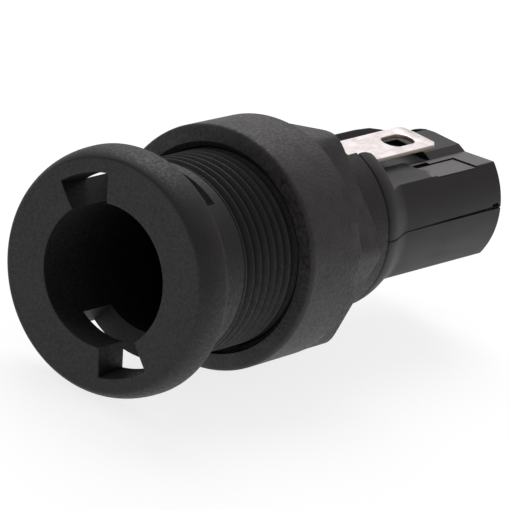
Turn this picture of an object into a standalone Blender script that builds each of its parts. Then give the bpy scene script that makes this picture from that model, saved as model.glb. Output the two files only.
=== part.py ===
"""Panel-mount holder for a cartridge fuse, without its fuse carrier.

Metres, +Z up. The holder's axis is Y: the flange faces -Y and the terminals point
to +Y. The origin is on the axis at the flange's seat, where the panel's face lies.
Angles round the axis are counted from +Z towards +X, in degrees.
"""

import math

import bmesh
import bpy
from mathutils import Matrix, Vector

MM = 0.001

# Front moulding, which the panel nut screws onto
FLANGE_R = 10.1 * MM
FLANGE_T = 2.9 * MM
RIM_MIDDLE_R = 9.09 * MM
RIM_START = -0.5 * MM
RIM_CREASE = 15.0
COLLAR_R = 7.97 * MM
COLLAR_END = 5.1 * MM
THREAD_R = 8.0 * MM
THREAD_ROOT_R = 7.4 * MM
THREAD_PITCH = 1.0 * MM
THREAD_END = 23.1 * MM
BARREL_END = 25.75 * MM
BORE_R = 5.8 * MM
COUNTERBORE_R = 6.5 * MM
COUNTERBORE_START = 22.6 * MM
LUG_WAY_HALF = 2.26 * MM
LUG_WAY_START = 24.4 * MM
LUG_WAY_FLOOR = 5.05 * MM

# Bayonet entry: two keyways, each opening into a slot that runs clockwise
KEYWAY_ANGLE = -30.5
KEYWAY_HALF = 17.0
SLOT_TURN = 61.5
SLOT_FRONT = 0.3 * MM
SLOT_BACK = 4.1 * MM
SLOT_R = 8.2 * MM
KEYWAY_FRONT_R = 8.2 * MM
KEYWAY_BACK_R = 7.9 * MM

# Groove in the bore's top wall for the side contact
GROOVE_HALF = 1.6 * MM
GROOVE_TOP = 6.75 * MM
GROOVE_START = 10.8 * MM

# Panel nut: a round foot with a hexagon behind it
NUT_FRONT = 11.5 * MM
NUT_FOOT_R = 10.0 * MM
NUT_FOOT_L = 6.5 * MM
NUT_L = 10.0 * MM
NUT_APOTHEM = 8.8 * MM
NUT_BORE_R = 8.25 * MM
NUT_MOUTH_R = 8.6 * MM
NUT_TURN = 16.0

# Rear housing, in two halves that meet on a level seam
SEAM_Z = 1.2 * MM
GAP = 0.12 * MM
FIT = 0.3 * MM
SPIGOT_R = COUNTERBORE_R - FIT
SPIGOT_START = COUNTERBORE_START + FIT
SHOULDER_R = 7.35 * MM
SHOULDER_END = 27.6 * MM
HOUSING_R = 6.62 * MM
HOUSING_START = 28.4 * MM
HOUSING_END = 42.9 * MM
FUSE_BORE_R = 3.45 * MM
CUP_BORE_R = 3.9 * MM
CUP_BORE_START = 32.7 * MM
END_WALL = 40.9 * MM
DECK_Z = 4.64 * MM
DECK_SIDE_X = -2.05 * MM
DECK_FAR_X = -2.55 * MM
FACET_X = 1.85 * MM
FACET_Z = 4.28 * MM
FACET_START = 34.0 * MM
FAR_FLAT_TURN = -35.2
FAR_FLAT = 6.4 * MM
FAR_FLAT_END = 34.0 * MM
FAR_SLOPE = 0.24
SIDE_WALL_END = 39.2 * MM

# Side terminal: a lug outside, a joggle, and a strip inside the bore's groove
SHEET = 0.35 * MM
LUG_TOP = 5.7 * MM
LUG_HALF = 1.93 * MM
LUG_END = 38.3 * MM
LUG_HOLE_Y = 35.1 * MM
LUG_HOLE_HALF = 0.95 * MM
LUG_HOLE_L = 3.5 * MM
STRIP_HALF = 1.3 * MM
STRIP_TOP = 6.35 * MM
STRIP_FRONT = 20.0 * MM
RIVET_Y = 21.0 * MM
RIVET_R = 0.45 * MM
RIVET_HEAD_R = 0.8 * MM
RIVET_HEAD_T = 0.25 * MM
RIVET_CLEARANCE = 0.05 * MM
JOGGLE_START = 24.0 * MM
JOGGLE_END = 26.2 * MM
NECK_Y = 24.6 * MM
LUG_CORNER = 0.8 * MM

# Contact leaf under the strip: it hinges at the rivet, with room above and below to tip
LEAF_T = 0.22 * MM
LEAF_HALF = 1.05 * MM
LEAF_ROOM = 0.12 * MM
LEAF_ROOT_Y = 19.6 * MM
LEAF_REAR = 22.2 * MM
LEAF_DIP = 0.8 * MM
LEAF_DIP_Y = 13.8 * MM
LEAF_FRONT = 11.6 * MM

# End contact: a cup pushed forwards by a coil spring on the end terminal's plate
CUP_R = 3.6 * MM
CUP_FRONT = 33.0 * MM
CUP_L = 3.0 * MM
CUP_POCKET_R = 3.25 * MM
CUP_POCKET_L = 2.2 * MM
SPRING_WIRE_R = 0.25 * MM
SPRING_COIL_R = 2.6 * MM
SPRING_TURNS = 4.5
PLATE_R = 3.5 * MM
PLATE_BACK = 40.7 * MM
BLADE_X = -1.95 * MM
BLADE_END = 48.2 * MM
BLADE_STEP_START = HOUSING_END + 0.4 * MM
BLADE_STEP_END = BLADE_STEP_START + 0.7 * MM
BLADE_STEP = 0.35 * MM
BLADE_HOLE_Y = 46.1 * MM

ROUND = 40
OVERCUT = 1.0 * MM


def clear_scene():
    for obj in list(bpy.data.objects):
        bpy.data.objects.remove(obj, do_unlink=True)


def material(name, color, roughness, metallic):
    mat = bpy.data.materials.new(name)
    mat.use_nodes = True
    shader = mat.node_tree.nodes["Principled BSDF"]
    shader.inputs["Base Color"].default_value = (*color, 1.0)
    shader.inputs["Roughness"].default_value = roughness
    shader.inputs["Metallic"].default_value = metallic
    return mat


def add_object(name, mesh_builder, mat=None):
    """An object from a bmesh, with its faces turned outwards and its round sides smooth."""
    bmesh.ops.recalc_face_normals(mesh_builder, faces=mesh_builder.faces)
    mesh = bpy.data.meshes.new(name)
    mesh_builder.to_mesh(mesh)
    mesh_builder.free()
    obj = bpy.data.objects.new(name, mesh)
    bpy.context.scene.collection.objects.link(obj)
    if mat:
        mesh.materials.append(mat)
        mesh.shade_smooth()
        mesh.set_sharp_from_angle(angle=math.radians(30))
    return obj


def round_point(radius, degrees, y):
    turn = math.radians(degrees)
    return Vector((radius * math.sin(turn), y, radius * math.cos(turn)))


def turned(name, profile, mat=None, sides=ROUND):
    """A body turned about Y from a closed list of (radius, y) points; radius 0 is the axis."""
    bm = bmesh.new()
    rings = []
    for radius, y in profile:
        if radius == 0:
            rings.append([bm.verts.new((0, y, 0))] * sides)
        else:
            rings.append([bm.verts.new(round_point(radius, 360 * k / sides, y)) for k in range(sides)])
    for here, after in zip(rings, rings[1:] + rings[:1]):
        for k in range(sides):
            corners = (here[k], here[(k + 1) % sides], after[(k + 1) % sides], after[k])
            different = list(dict.fromkeys(corners))
            if len(different) > 2:
                bm.faces.new(different)
    return add_object(name, bm, mat)


def prism(name, outline, axis, low, high, mat=None):
    """An outline extruded along X or Y, from low to high. Its points are (y, z) or (x, z)."""
    bm = bmesh.new()
    place = {"X": lambda p: (low, p[0], p[1]), "Y": lambda p: (p[0], low, p[1])}[axis]
    face = bm.faces.new([bm.verts.new(place(point)) for point in outline])
    moved = bmesh.ops.extrude_face_region(bm, geom=[face])["geom"]
    step = Vector((high - low, 0, 0)) if axis == "X" else Vector((0, high - low, 0))
    bmesh.ops.translate(bm, verts=[v for v in moved if isinstance(v, bmesh.types.BMVert)], vec=step)
    return add_object(name, bm, mat)


def box(name, low, high):
    bm = bmesh.new()
    size = [b - a for a, b in zip(low, high)]
    middle = [(a + b) / 2 for a, b in zip(low, high)]
    bmesh.ops.create_cube(bm, size=1, matrix=Matrix.Translation(middle) @ Matrix.Diagonal((*size, 1)))
    return add_object(name, bm)


def cylinder_z(name, x, y, radius, low, high, mat=None, sides=20):
    """An upright cylinder."""
    bm = bmesh.new()
    middle = Matrix.Translation((x, y, (low + high) / 2))
    bmesh.ops.create_cone(
        bm, cap_ends=True, segments=sides, radius1=radius, radius2=radius, depth=high - low, matrix=middle
    )
    return add_object(name, bm, mat)


def use(obj, tool, operation="DIFFERENCE"):
    """A Boolean of obj with a helper, which is then hidden."""
    tool.hide_render = True
    tool.display_type = "WIRE"
    modifier = obj.modifiers.new(tool.name, "BOOLEAN")
    modifier.operation = operation
    modifier.object = tool


def arc(centre, radius, start, end, steps):
    """Points of an arc in a plane; angles in degrees, from the first axis towards the second."""
    points = []
    for k in range(steps + 1):
        turn = math.radians(start + (end - start) * k / steps)
        points.append((centre[0] + radius * math.cos(turn), centre[1] + radius * math.sin(turn)))
    return points


def sector(name, outer_radii, degrees, depths):
    """A closed block round the axis, from inside the bore to a radius at each of its two depths."""
    inner = BORE_R - OVERCUT
    steps = max(1, round((degrees[1] - degrees[0]) / 7))
    front, back = depths
    section = [(inner, front), (outer_radii[0], front), (outer_radii[1], back), (inner, back)]
    bm = bmesh.new()
    columns = []
    for k in range(steps + 1):
        turn = degrees[0] + (degrees[1] - degrees[0]) * k / steps
        columns.append([bm.verts.new(round_point(radius, turn, y)) for radius, y in section])
    for here, after in zip(columns, columns[1:]):
        for k in range(4):
            bm.faces.new((here[k - 1], here[k], after[k], after[k - 1]))
    bm.faces.new(columns[0])
    bm.faces.new(columns[-1])
    return add_object(name, bm)


def thread_profile():
    """The outside of the threaded length: flat crests with a V groove at every pitch."""
    points = []
    turns = round((THREAD_END - COLLAR_END) / THREAD_PITCH)
    for k in range(turns):
        start = COLLAR_END + k * THREAD_PITCH
        points += [(THREAD_R, start + 0.15 * THREAD_PITCH), (THREAD_ROOT_R, start + 0.5 * THREAD_PITCH)]
        points.append((THREAD_R, start + 0.85 * THREAD_PITCH))
    return points


def make_barrel(mat):
    """Flange, collar and thread in one moulding, bored through."""
    lip, rear_edge = 0.1 * MM, 0.25 * MM
    rim_width = FLANGE_R - RIM_MIDDLE_R
    rim_depth = (FLANGE_T + RIM_START) / math.cos(math.radians(RIM_CREASE))
    profile = [
        (RIM_MIDDLE_R + rim_width * across, RIM_START - rim_depth * forward)
        for across, forward in arc((0, 0), 1, 90 - RIM_CREASE, 0, 6)
    ]
    profile += [(FLANGE_R, -lip), (FLANGE_R - lip, 0), (COLLAR_R, 0), (COLLAR_R, COLLAR_END)]
    profile += thread_profile()
    profile += [(THREAD_ROOT_R, THREAD_END), (THREAD_ROOT_R, BARREL_END - rear_edge)]
    profile += [(THREAD_ROOT_R - rear_edge, BARREL_END), (COUNTERBORE_R, BARREL_END)]
    profile += [(COUNTERBORE_R, COUNTERBORE_START), (BORE_R, COUNTERBORE_START), (BORE_R, -FLANGE_T)]
    barrel = turned("barrel", profile, mat)
    for number, turn in enumerate((0, 180)):
        start, end = KEYWAY_ANGLE - KEYWAY_HALF + turn, KEYWAY_ANGLE + KEYWAY_HALF + turn
        keyway_radii = (KEYWAY_FRONT_R, KEYWAY_BACK_R)
        keyway_depths = (-FLANGE_T - 0.1 * MM, SLOT_FRONT + 0.2 * MM)
        use(barrel, sector(f"keyway_cutter_{number}", keyway_radii, (start, end), keyway_depths))
        slot_turns = (start - 0.3, KEYWAY_ANGLE + SLOT_TURN + turn)
        use(barrel, sector(f"slot_cutter_{number}", (SLOT_R, SLOT_R), slot_turns, (SLOT_FRONT, SLOT_BACK)))
    groove_low = (-GROOVE_HALF, GROOVE_START, 0)
    groove_high = (GROOVE_HALF, COUNTERBORE_START + OVERCUT, GROOVE_TOP)
    use(barrel, box("contact_groove_cutter", groove_low, groove_high))
    far = 12 * MM
    way_high = (LUG_WAY_HALF, BARREL_END + OVERCUT, far)
    use(barrel, box("lug_way_cutter", (-LUG_WAY_HALF, LUG_WAY_START, LUG_WAY_FLOOR), way_high))


def make_nut(mat):
    """A round foot that presses on the panel, and a hexagon for the spanner."""
    bevel = 0.35 * MM
    back = NUT_FRONT + NUT_L
    profile = [(NUT_MOUTH_R, NUT_FRONT), (NUT_FOOT_R - bevel, NUT_FRONT), (NUT_FOOT_R, NUT_FRONT + bevel)]
    profile += [(NUT_FOOT_R - 0.15 * MM, back - bevel), (NUT_FOOT_R - 3 * bevel, back)]
    profile += [(NUT_BORE_R, back), (NUT_BORE_R, NUT_FRONT + NUT_MOUTH_R - NUT_BORE_R)]
    nut = turned("panel_nut", profile, mat, sides=48)
    corner = NUT_APOTHEM / math.cos(math.radians(30))
    hexagon = [round_point(corner, NUT_TURN + 60 * k, 0) for k in range(6)]
    outer = turned("nut_flats_cutter", [(0, NUT_FRONT + NUT_FOOT_L), (2 * corner, NUT_FRONT + NUT_FOOT_L),
                                        (2 * corner, back + OVERCUT), (0, back + OVERCUT)])
    kept = prism("nut_hexagon", [(p.x, p.z) for p in hexagon], "Y", 0, back + 2 * OVERCUT)
    use(outer, kept)
    use(nut, outer)


def housing_blank(name, mat):
    """The whole rear housing before it is split: spigot, shoulder, body and its two bores."""
    edge = 0.25 * MM
    profile = [(FUSE_BORE_R, SPIGOT_START), (SPIGOT_R, SPIGOT_START)]
    profile += [(SPIGOT_R, BARREL_END + GAP), (SHOULDER_R, BARREL_END + GAP), (SHOULDER_R, SHOULDER_END)]
    profile += [(HOUSING_R, HOUSING_START), (HOUSING_R, HOUSING_END - edge), (HOUSING_R - edge, HOUSING_END)]
    profile += [(0, HOUSING_END), (0, END_WALL), (CUP_BORE_R, END_WALL)]
    profile += [(CUP_BORE_R, CUP_BORE_START), (FUSE_BORE_R, CUP_BORE_START)]
    return turned(name, profile, mat)


def make_upper_housing(mat):
    """The half above the seam: its top is cut down to a deck that the side terminal lies over."""
    shell = housing_blank("rear_housing_upper", mat)
    far = 12 * MM
    use(shell, box("upper_half_cutter", (-far, 0, -far), (far, HOUSING_END + far, SEAM_Z + GAP / 2)))
    way_end = SHOULDER_END + FIT
    use(shell, box("lug_slot_cutter", (-LUG_WAY_HALF, 0, LUG_WAY_FLOOR), (LUG_WAY_HALF, way_end, far)))
    deck = [(DECK_SIDE_X, DECK_Z), (DECK_SIDE_X - 1.6 * MM, DECK_Z + 1.3 * MM)]
    deck += [(DECK_SIDE_X - 1.6 * MM, far), (far, far), (far, DECK_Z)]
    use(shell, prism("deck_cutter", deck, "Y", way_end, HOUSING_END + OVERCUT))
    rear_deck = DECK_Z + 0.02 * MM
    behind = HOUSING_END + OVERCUT
    flat = [(0, far), (0, rear_deck), (DECK_FAR_X, rear_deck), (DECK_FAR_X - 6 * MM, rear_deck - 6 * MM)]
    flat += [(-far, rear_deck - 6 * MM), (-far, far)]
    use(shell, prism("rear_deck_cutter", flat, "Y", SIDE_WALL_END, behind))
    cut_back = HOUSING_END - 1.3 * MM
    corner = [(DECK_FAR_X + 1.3 * MM, HOUSING_END), (DECK_FAR_X + 1.3 * MM, behind), (-far, behind)]
    corner += [(-far, cut_back), (DECK_FAR_X, cut_back)]
    use(shell, upright_prism("far_corner_cutter", corner, 3 * MM, far))
    wall_start = HOUSING_START + 0.5 * MM
    wall_top = [(wall_start, far), (wall_start, FAR_FLAT), (FAR_FLAT_END, FAR_FLAT)]
    wall_low = FAR_FLAT - FAR_SLOPE * (SIDE_WALL_END - FAR_FLAT_END)
    wall_rear = SIDE_WALL_END + 0.4 * MM
    wall_top += [(SIDE_WALL_END - 0.6 * MM, wall_low), (wall_rear, wall_low), (wall_rear, far)]
    far_flat = prism("far_wall_cutter", wall_top, "X", -far / 2, far / 2)
    far_flat.rotation_euler.y = math.radians(FAR_FLAT_TURN)
    use(shell, far_flat)
    under_lug = (-1.8 * MM, HOUSING_START + 0.3 * MM, 4.2 * MM)
    use(shell, box("under_lug_cutter", under_lug, (1.8 * MM, 37.8 * MM, far)))
    facet = [(FACET_X - 2 * MM, FACET_Z + 0.96 * MM), (FACET_X, FACET_Z)]
    facet += [(4.75 * MM, 4.6 * MM), (9 * MM, 5 * MM), (9 * MM, FACET_Z + 0.96 * MM)]
    use(shell, prism("deck_facet_cutter", facet, "Y", FACET_START, behind))
    blade_slot(shell, "upper_blade_slot")


def make_lower_housing(mat):
    """The half below the seam, with two long flats underneath."""
    shell = housing_blank("rear_housing_lower", mat)
    far = 12 * MM
    use(shell, box("lower_half_cutter", (-far, 0, SEAM_Z - GAP / 2), (far, HOUSING_END + far, far)))
    low, side = -6.48 * MM, -2.0 * MM
    flats = [(-8 * MM, side), (0, low), (8 * MM, side), (8 * MM, -far), (-8 * MM, -far)]
    use(shell, prism("bottom_flats_cutter", flats, "Y", HOUSING_START, HOUSING_END + OVERCUT))
    blade_slot(shell, "lower_blade_slot")


def blade_slot(shell, name):
    """The way out of the end wall for the end terminal's blade, half of it in each shell."""
    low = (BLADE_X - LUG_HALF - GAP, END_WALL - OVERCUT, SEAM_Z - SHEET / 2 - GAP)
    high = (BLADE_X + LUG_HALF + GAP, HOUSING_END + OVERCUT, SEAM_Z + SHEET / 2 + GAP)
    use(shell, box(name, low, high))


def upright_prism(name, outline, low, high):
    """An outline of (x, y) points extruded upwards."""
    bm = bmesh.new()
    face = bm.faces.new([bm.verts.new((x, y, low)) for x, y in outline])
    moved = bmesh.ops.extrude_face_region(bm, geom=[face])["geom"]
    risen = [v for v in moved if isinstance(v, bmesh.types.BMVert)]
    bmesh.ops.translate(bm, verts=risen, vec=Vector((0, 0, high - low)))
    return add_object(name, bm)


def oblong_hole(name, x, y, half_width, length, low, high):
    """A cutter with half-round ends, long along Y."""
    reach = length / 2 - half_width
    outline = arc((x, y + reach), half_width, 0, 180, 8) + arc((x, y - reach), half_width, 180, 360, 8)
    return upright_prism(name, outline, low, high)


def stepped_strip(name, path, half, mat=None):
    """A strip of sheet along Y whose top follows (y, z) points."""
    lower = [(y, z - SHEET) for y, z in reversed(path)]
    return prism(name, path + lower, "X", -half, half, mat)


def lug_end(half):
    """The outer end of a lug seen from above, with both corners cut off, as (x, distance from the end)."""
    inner = half - 0.7 * LUG_CORNER
    return [(half, LUG_CORNER), (inner, 0), (-inner, 0), (-half, LUG_CORNER)]


def make_side_terminal(mat):
    """One stamped strip: the lug over the deck, a joggle up into the bore's groove, and a short tail."""
    path = [(STRIP_FRONT, STRIP_TOP), (JOGGLE_START, STRIP_TOP), (JOGGLE_END, LUG_TOP), (LUG_END, LUG_TOP)]
    terminal = stepped_strip("side_terminal", path, LUG_HALF, mat)
    beside = LUG_HALF + OVERCUT
    plan = [(-beside, NECK_Y), (-STRIP_HALF, NECK_Y), (-STRIP_HALF, 0)]
    plan += [(STRIP_HALF, 0), (STRIP_HALF, NECK_Y), (beside, NECK_Y), (beside, LUG_END - LUG_CORNER)]
    plan += [(x, LUG_END - back) for x, back in lug_end(LUG_HALF)]
    plan += [(-beside, LUG_END - LUG_CORNER)]
    use(terminal, upright_prism("terminal_plan", plan, 4 * MM, 8 * MM), "INTERSECT")
    hole = (LUG_HOLE_HALF, LUG_HOLE_L, 4.5 * MM, 7 * MM)
    use(terminal, oblong_hole("lug_hole_cutter", 0, LUG_HOLE_Y, *hole))
    rivet_hole_r = RIVET_R + RIVET_CLEARANCE
    use(terminal, cylinder_z("strip_rivet_cutter", 0, RIVET_Y, rivet_hole_r, 5 * MM, 7 * MM, sides=16))


def leaf_height(y):
    """Top of the contact leaf along the bore: flat under the strip, then bowed towards the axis."""
    flat = STRIP_TOP - SHEET - LEAF_ROOM
    if y >= LEAF_ROOT_Y:
        return flat
    if y >= LEAF_DIP_Y:
        share = (LEAF_ROOT_Y - y) / (LEAF_ROOT_Y - LEAF_DIP_Y)
        return flat - LEAF_DIP * math.sin(share * math.pi / 2) ** 1.5
    share = (LEAF_DIP_Y - y) / (LEAF_DIP_Y - LEAF_FRONT)
    return flat - LEAF_DIP + 0.55 * LEAF_DIP * share**2


def make_contact_leaf(mat):
    """A thin spring strip, riveted under the terminal's tail; its belly reaches into the bore."""
    steps = 16
    ys = [LEAF_FRONT + (LEAF_ROOT_Y - LEAF_FRONT) * k / steps for k in range(steps + 1)] + [LEAF_REAR]
    upper = [(y, leaf_height(y)) for y in ys]
    lower = [(y, leaf_height(y) - LEAF_T) for y in reversed(ys)]
    leaf = prism("side_contact_leaf", upper + lower, "X", -LEAF_HALF, LEAF_HALF, mat)
    hole = cylinder_z("leaf_rivet_cutter", 0, RIVET_Y, RIVET_R + RIVET_CLEARANCE, 5 * MM, 7 * MM, sides=16)
    use(leaf, hole)


def make_rivet(mat):
    """The rivet through the leaf and the strip, a head at each end."""
    top = STRIP_TOP + RIVET_CLEARANCE
    bottom = leaf_height(RIVET_Y) - LEAF_T - LEAF_ROOM
    heads = [(0, bottom - RIVET_HEAD_T), (0.7 * RIVET_HEAD_R, bottom - RIVET_HEAD_T), (RIVET_HEAD_R, bottom)]
    heads += [(RIVET_R, bottom), (RIVET_R, top), (RIVET_HEAD_R, top)]
    heads += [(0.7 * RIVET_HEAD_R, top + RIVET_HEAD_T), (0, top + RIVET_HEAD_T)]
    rivet = turned("side_contact_rivet", heads, mat, sides=16)
    rivet.data.transform(Matrix.Translation((0, RIVET_Y, 0)) @ Matrix.Rotation(math.radians(90), 4, "X"))


def make_end_terminal(mat):
    """A plate that the spring stands on; its blade leaves through the end wall and steps up outside it."""
    plate_front = PLATE_BACK - SHEET
    plate = [(0, plate_front), (PLATE_R, plate_front), (PLATE_R, PLATE_BACK), (0, PLATE_BACK)]
    terminal = turned("end_terminal", plate, mat, sides=32)
    top = SEAM_Z + SHEET / 2
    path = [(plate_front + SHEET / 3, top), (BLADE_STEP_START, top)]
    path += [(BLADE_STEP_END, top + BLADE_STEP), (BLADE_END, top + BLADE_STEP)]
    blade = stepped_strip("end_blade", path, LUG_HALF)
    blade.location.x = BLADE_X
    beside = LUG_HALF + OVERCUT
    plan = [(-beside, 0), (beside, 0), (beside, BLADE_END - LUG_CORNER)]
    plan += [(x, BLADE_END - back) for x, back in lug_end(LUG_HALF)]
    plan += [(-beside, BLADE_END - LUG_CORNER)]
    outline = upright_prism("end_blade_plan", [(x + BLADE_X, y) for x, y in plan], 0, 3 * MM)
    use(blade, outline, "INTERSECT")
    inside_r = PLATE_R - 0.02 * MM
    wide = 8 * MM
    rear = BLADE_END + OVERCUT
    limit = [(0, HOUSING_START), (inside_r, HOUSING_START), (inside_r, END_WALL), (wide, END_WALL + FIT)]
    limit += [(wide, rear), (0, rear)]
    use(blade, turned("end_blade_limit", limit, sides=32), "INTERSECT")
    use(terminal, blade, "UNION")
    hole = (LUG_HOLE_HALF * 0.8, LUG_HOLE_L * 0.8, 0, 3 * MM)
    use(terminal, oblong_hole("end_hole_cutter", BLADE_X, BLADE_HOLE_Y, *hole))


def make_contact_cup(mat):
    """The cup that the fuse's end cap sits in."""
    back = CUP_FRONT + CUP_L
    edge = 0.25 * MM
    profile = [(CUP_POCKET_R, CUP_FRONT), (CUP_R, CUP_FRONT), (CUP_R, back - edge), (CUP_R - edge, back)]
    profile += [(0, back), (0, CUP_FRONT + CUP_POCKET_L), (CUP_POCKET_R, CUP_FRONT + CUP_POCKET_L)]
    turned("end_contact_cup", profile, mat, sides=32)


def make_spring(mat):
    """A coil spring of round wire, between the cup and the end terminal's plate."""
    clearance = 0.1 * MM
    start = CUP_FRONT + CUP_L + SPRING_WIRE_R + clearance
    end = PLATE_BACK - SHEET - SPRING_WIRE_R - clearance
    per_turn = 16
    count = round(SPRING_TURNS * per_turn)
    curve = bpy.data.curves.new("end_contact_spring", "CURVE")
    curve.dimensions = "3D"
    curve.bevel_depth = SPRING_WIRE_R
    curve.bevel_resolution = 1
    curve.use_fill_caps = True
    spline = curve.splines.new("POLY")
    spline.points.add(count)
    for k, point in enumerate(spline.points):
        share = k / count
        closed_up = share - 0.09 * math.sin(4 * math.pi * share) / 2
        at = round_point(SPRING_COIL_R, 360 * k / per_turn, start + (end - start) * closed_up)
        point.co = (*at, 1)
    curve.materials.append(mat)
    spring = bpy.data.objects.new("end_contact_spring", curve)
    bpy.context.scene.collection.objects.link(spring)


def main():
    clear_scene()
    make_barrel(material("black_polyamide_front", (0.022, 0.022, 0.024), 0.55, 0))
    make_nut(material("black_polyamide_nut", (0.026, 0.026, 0.027), 0.62, 0))
    make_upper_housing(material("black_polyamide_upper", (0.02, 0.02, 0.022), 0.4, 0))
    make_lower_housing(material("black_polyamide_lower", (0.02, 0.02, 0.021), 0.42, 0))
    make_side_terminal(material("tinned_brass_side", (0.72, 0.69, 0.64), 0.32, 1))
    make_contact_leaf(material("spring_bronze", (0.7, 0.45, 0.25), 0.35, 1))
    make_rivet(material("rivet_brass", (0.75, 0.6, 0.33), 0.35, 1))
    make_end_terminal(material("tinned_brass_end", (0.72, 0.69, 0.64), 0.32, 1))
    make_contact_cup(material("plated_cup", (0.7, 0.68, 0.63), 0.3, 1))
    make_spring(material("spring_steel", (0.55, 0.55, 0.56), 0.35, 1))


main()
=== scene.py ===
"""Looks of a panel-mount cartridge fuse holder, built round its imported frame.

Metres, in the frame's own axes: the holder's axis is Y, its flange faces -Y and the
side lug's face is +Z. Angles round the axis are counted from +Z towards +X.
"""

import math

import bmesh
import bpy
from mathutils import Matrix, Vector


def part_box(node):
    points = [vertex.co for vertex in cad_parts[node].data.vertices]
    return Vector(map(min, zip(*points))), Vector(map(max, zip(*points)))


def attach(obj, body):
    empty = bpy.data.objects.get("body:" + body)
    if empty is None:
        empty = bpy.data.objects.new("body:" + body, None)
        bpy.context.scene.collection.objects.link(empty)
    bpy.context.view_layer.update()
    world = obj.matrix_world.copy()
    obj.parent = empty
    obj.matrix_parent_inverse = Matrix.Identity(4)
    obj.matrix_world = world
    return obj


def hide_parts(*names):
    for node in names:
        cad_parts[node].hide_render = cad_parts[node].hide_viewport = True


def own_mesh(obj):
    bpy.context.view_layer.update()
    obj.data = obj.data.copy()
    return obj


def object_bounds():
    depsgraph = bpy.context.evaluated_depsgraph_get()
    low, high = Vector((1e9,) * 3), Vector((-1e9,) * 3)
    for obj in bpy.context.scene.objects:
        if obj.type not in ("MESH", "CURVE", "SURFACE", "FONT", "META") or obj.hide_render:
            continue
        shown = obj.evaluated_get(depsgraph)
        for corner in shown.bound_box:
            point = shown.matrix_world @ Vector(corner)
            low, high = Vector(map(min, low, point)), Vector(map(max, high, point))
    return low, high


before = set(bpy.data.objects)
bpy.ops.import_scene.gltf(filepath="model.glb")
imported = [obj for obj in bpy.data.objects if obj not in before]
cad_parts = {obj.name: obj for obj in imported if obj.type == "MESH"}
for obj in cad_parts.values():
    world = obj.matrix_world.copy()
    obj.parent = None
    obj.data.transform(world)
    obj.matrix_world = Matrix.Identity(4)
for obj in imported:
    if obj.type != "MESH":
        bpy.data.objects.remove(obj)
cad_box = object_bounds()

# ---- Front moulding ----------------------------------------------------------------
# Flange, collar and M16 x 1 thread in one moulding of black glass-filled polyamide.
# Two keyways through the flange let the fuse carrier's lugs in, and each opens into a
# slot that they turn into. The tool leaves a fine grain and edges that are barely soft.

MM = 0.001
SIDES = 144
barrel_low, barrel_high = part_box("barrel")
FLANGE_R = barrel_high.x
FACE_Y = barrel_low.y
BARREL_END = barrel_high.y
RIM_MIDDLE_R = 9.09 * MM
FACE_EDGE_R = 9.25 * MM
RIM_Y = -0.5 * MM
RIM_CREASE = math.radians(15)
COLLAR_R = 7.97 * MM
COLLAR_END = 5.1 * MM
CREST_R = 8.0 * MM
ROOT_R = 7.4 * MM
PITCH = 1.0 * MM
THREAD_END = 23.1 * MM
THREAD_CHAMFER = 0.7 * MM
BORE_R = 5.8 * MM
COUNTERBORE_R = 6.5 * MM
COUNTERBORE_Y = 22.6 * MM
KEYWAY_FRONT_R = 8.2 * MM
KEYWAY_BACK_R = 7.9 * MM
KEYWAY_START = -47.5
KEYWAY_END = -13.5
SLOT_R = 8.2 * MM
SLOT_END = 31.0
SLOT_FRONT = 0.3 * MM
SLOT_BACK = 3.9 * MM
GROOVE_HALF = 1.6 * MM
GROOVE_TOP = 6.75 * MM
GROOVE_START = 10.8 * MM
LUG_WAY_HALF = 2.26 * MM
LUG_WAY_START = 24.4 * MM
LUG_WAY_FLOOR = 5.05 * MM
MOULDED_EDGE = 0.12 * MM

# Height of the thread along half a pitch: flat crest, straight flank, round root
THREAD_SHAPE = [(0, 1), (0.05, 1), (0.09, 0.93), (0.2, 0.64)]
THREAD_SHAPE += [(0.3, 0.32), (0.38, 0.07), (0.43, 0.01), (0.5, 0)]


def linear(code):
    """An sRGB hex colour as linear red, green, blue and alpha."""
    shares = [int(code[k:k + 2], 16) / 255 for k in (1, 3, 5)]
    return (*[s / 12.92 if s <= 0.04045 else ((s + 0.055) / 1.055) ** 2.4 for s in shares], 1.0)


def add_node(material, kind, values=None, links=None, **settings):
    """A node in a material, with its settings, its sockets' values and what feeds them."""
    node = material.node_tree.nodes.new(kind)
    for name, value in settings.items():
        setattr(node, name, value)
    for socket, value in (values or {}).items():
        node.inputs[socket].default_value = value
    for socket, source in (links or {}).items():
        material.node_tree.links.new(source, node.inputs[socket])
    return node


def start_material(name, values):
    """A material and its Principled shader, with the shader's own values set."""
    material = bpy.data.materials.new(name)
    material.use_nodes = True
    shader = material.node_tree.nodes["Principled BSDF"]
    for socket, value in values.items():
        shader.inputs[socket].default_value = value
    return material, shader


def add_piece(name, bm, materials):
    """An object from a bmesh, with its faces turned outwards."""
    bmesh.ops.recalc_face_normals(bm, faces=bm.faces)
    mesh = bpy.data.meshes.new(name)
    bm.to_mesh(mesh)
    bm.free()
    for material in materials:
        mesh.materials.append(material)
    piece = bpy.data.objects.new(name, mesh)
    bpy.context.scene.collection.objects.link(piece)
    return piece


def round_point(radius, turn, y):
    """A point round the axis; turn is in radians."""
    return Vector((radius * math.sin(turn), y, radius * math.cos(turn)))


def ring(bm, radius, y, sides=SIDES):
    """One ring of points round the axis. A radius may be a function of the turn."""
    turns = [2 * math.pi * k / sides for k in range(sides)]
    return [bm.verts.new(round_point(radius(t) if callable(radius) else radius, t, y)) for t in turns]


def join_rings(bm, rings, closed=True):
    """Faces from each ring to the next, and from the last to the first where the loop is closed."""
    pairs = zip(rings, rings[1:] + rings[:1]) if closed else zip(rings, rings[1:])
    for here, after in pairs:
        for k in range(len(here)):
            bm.faces.new((here[k - 1], here[k], after[k], after[k - 1]))


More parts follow.
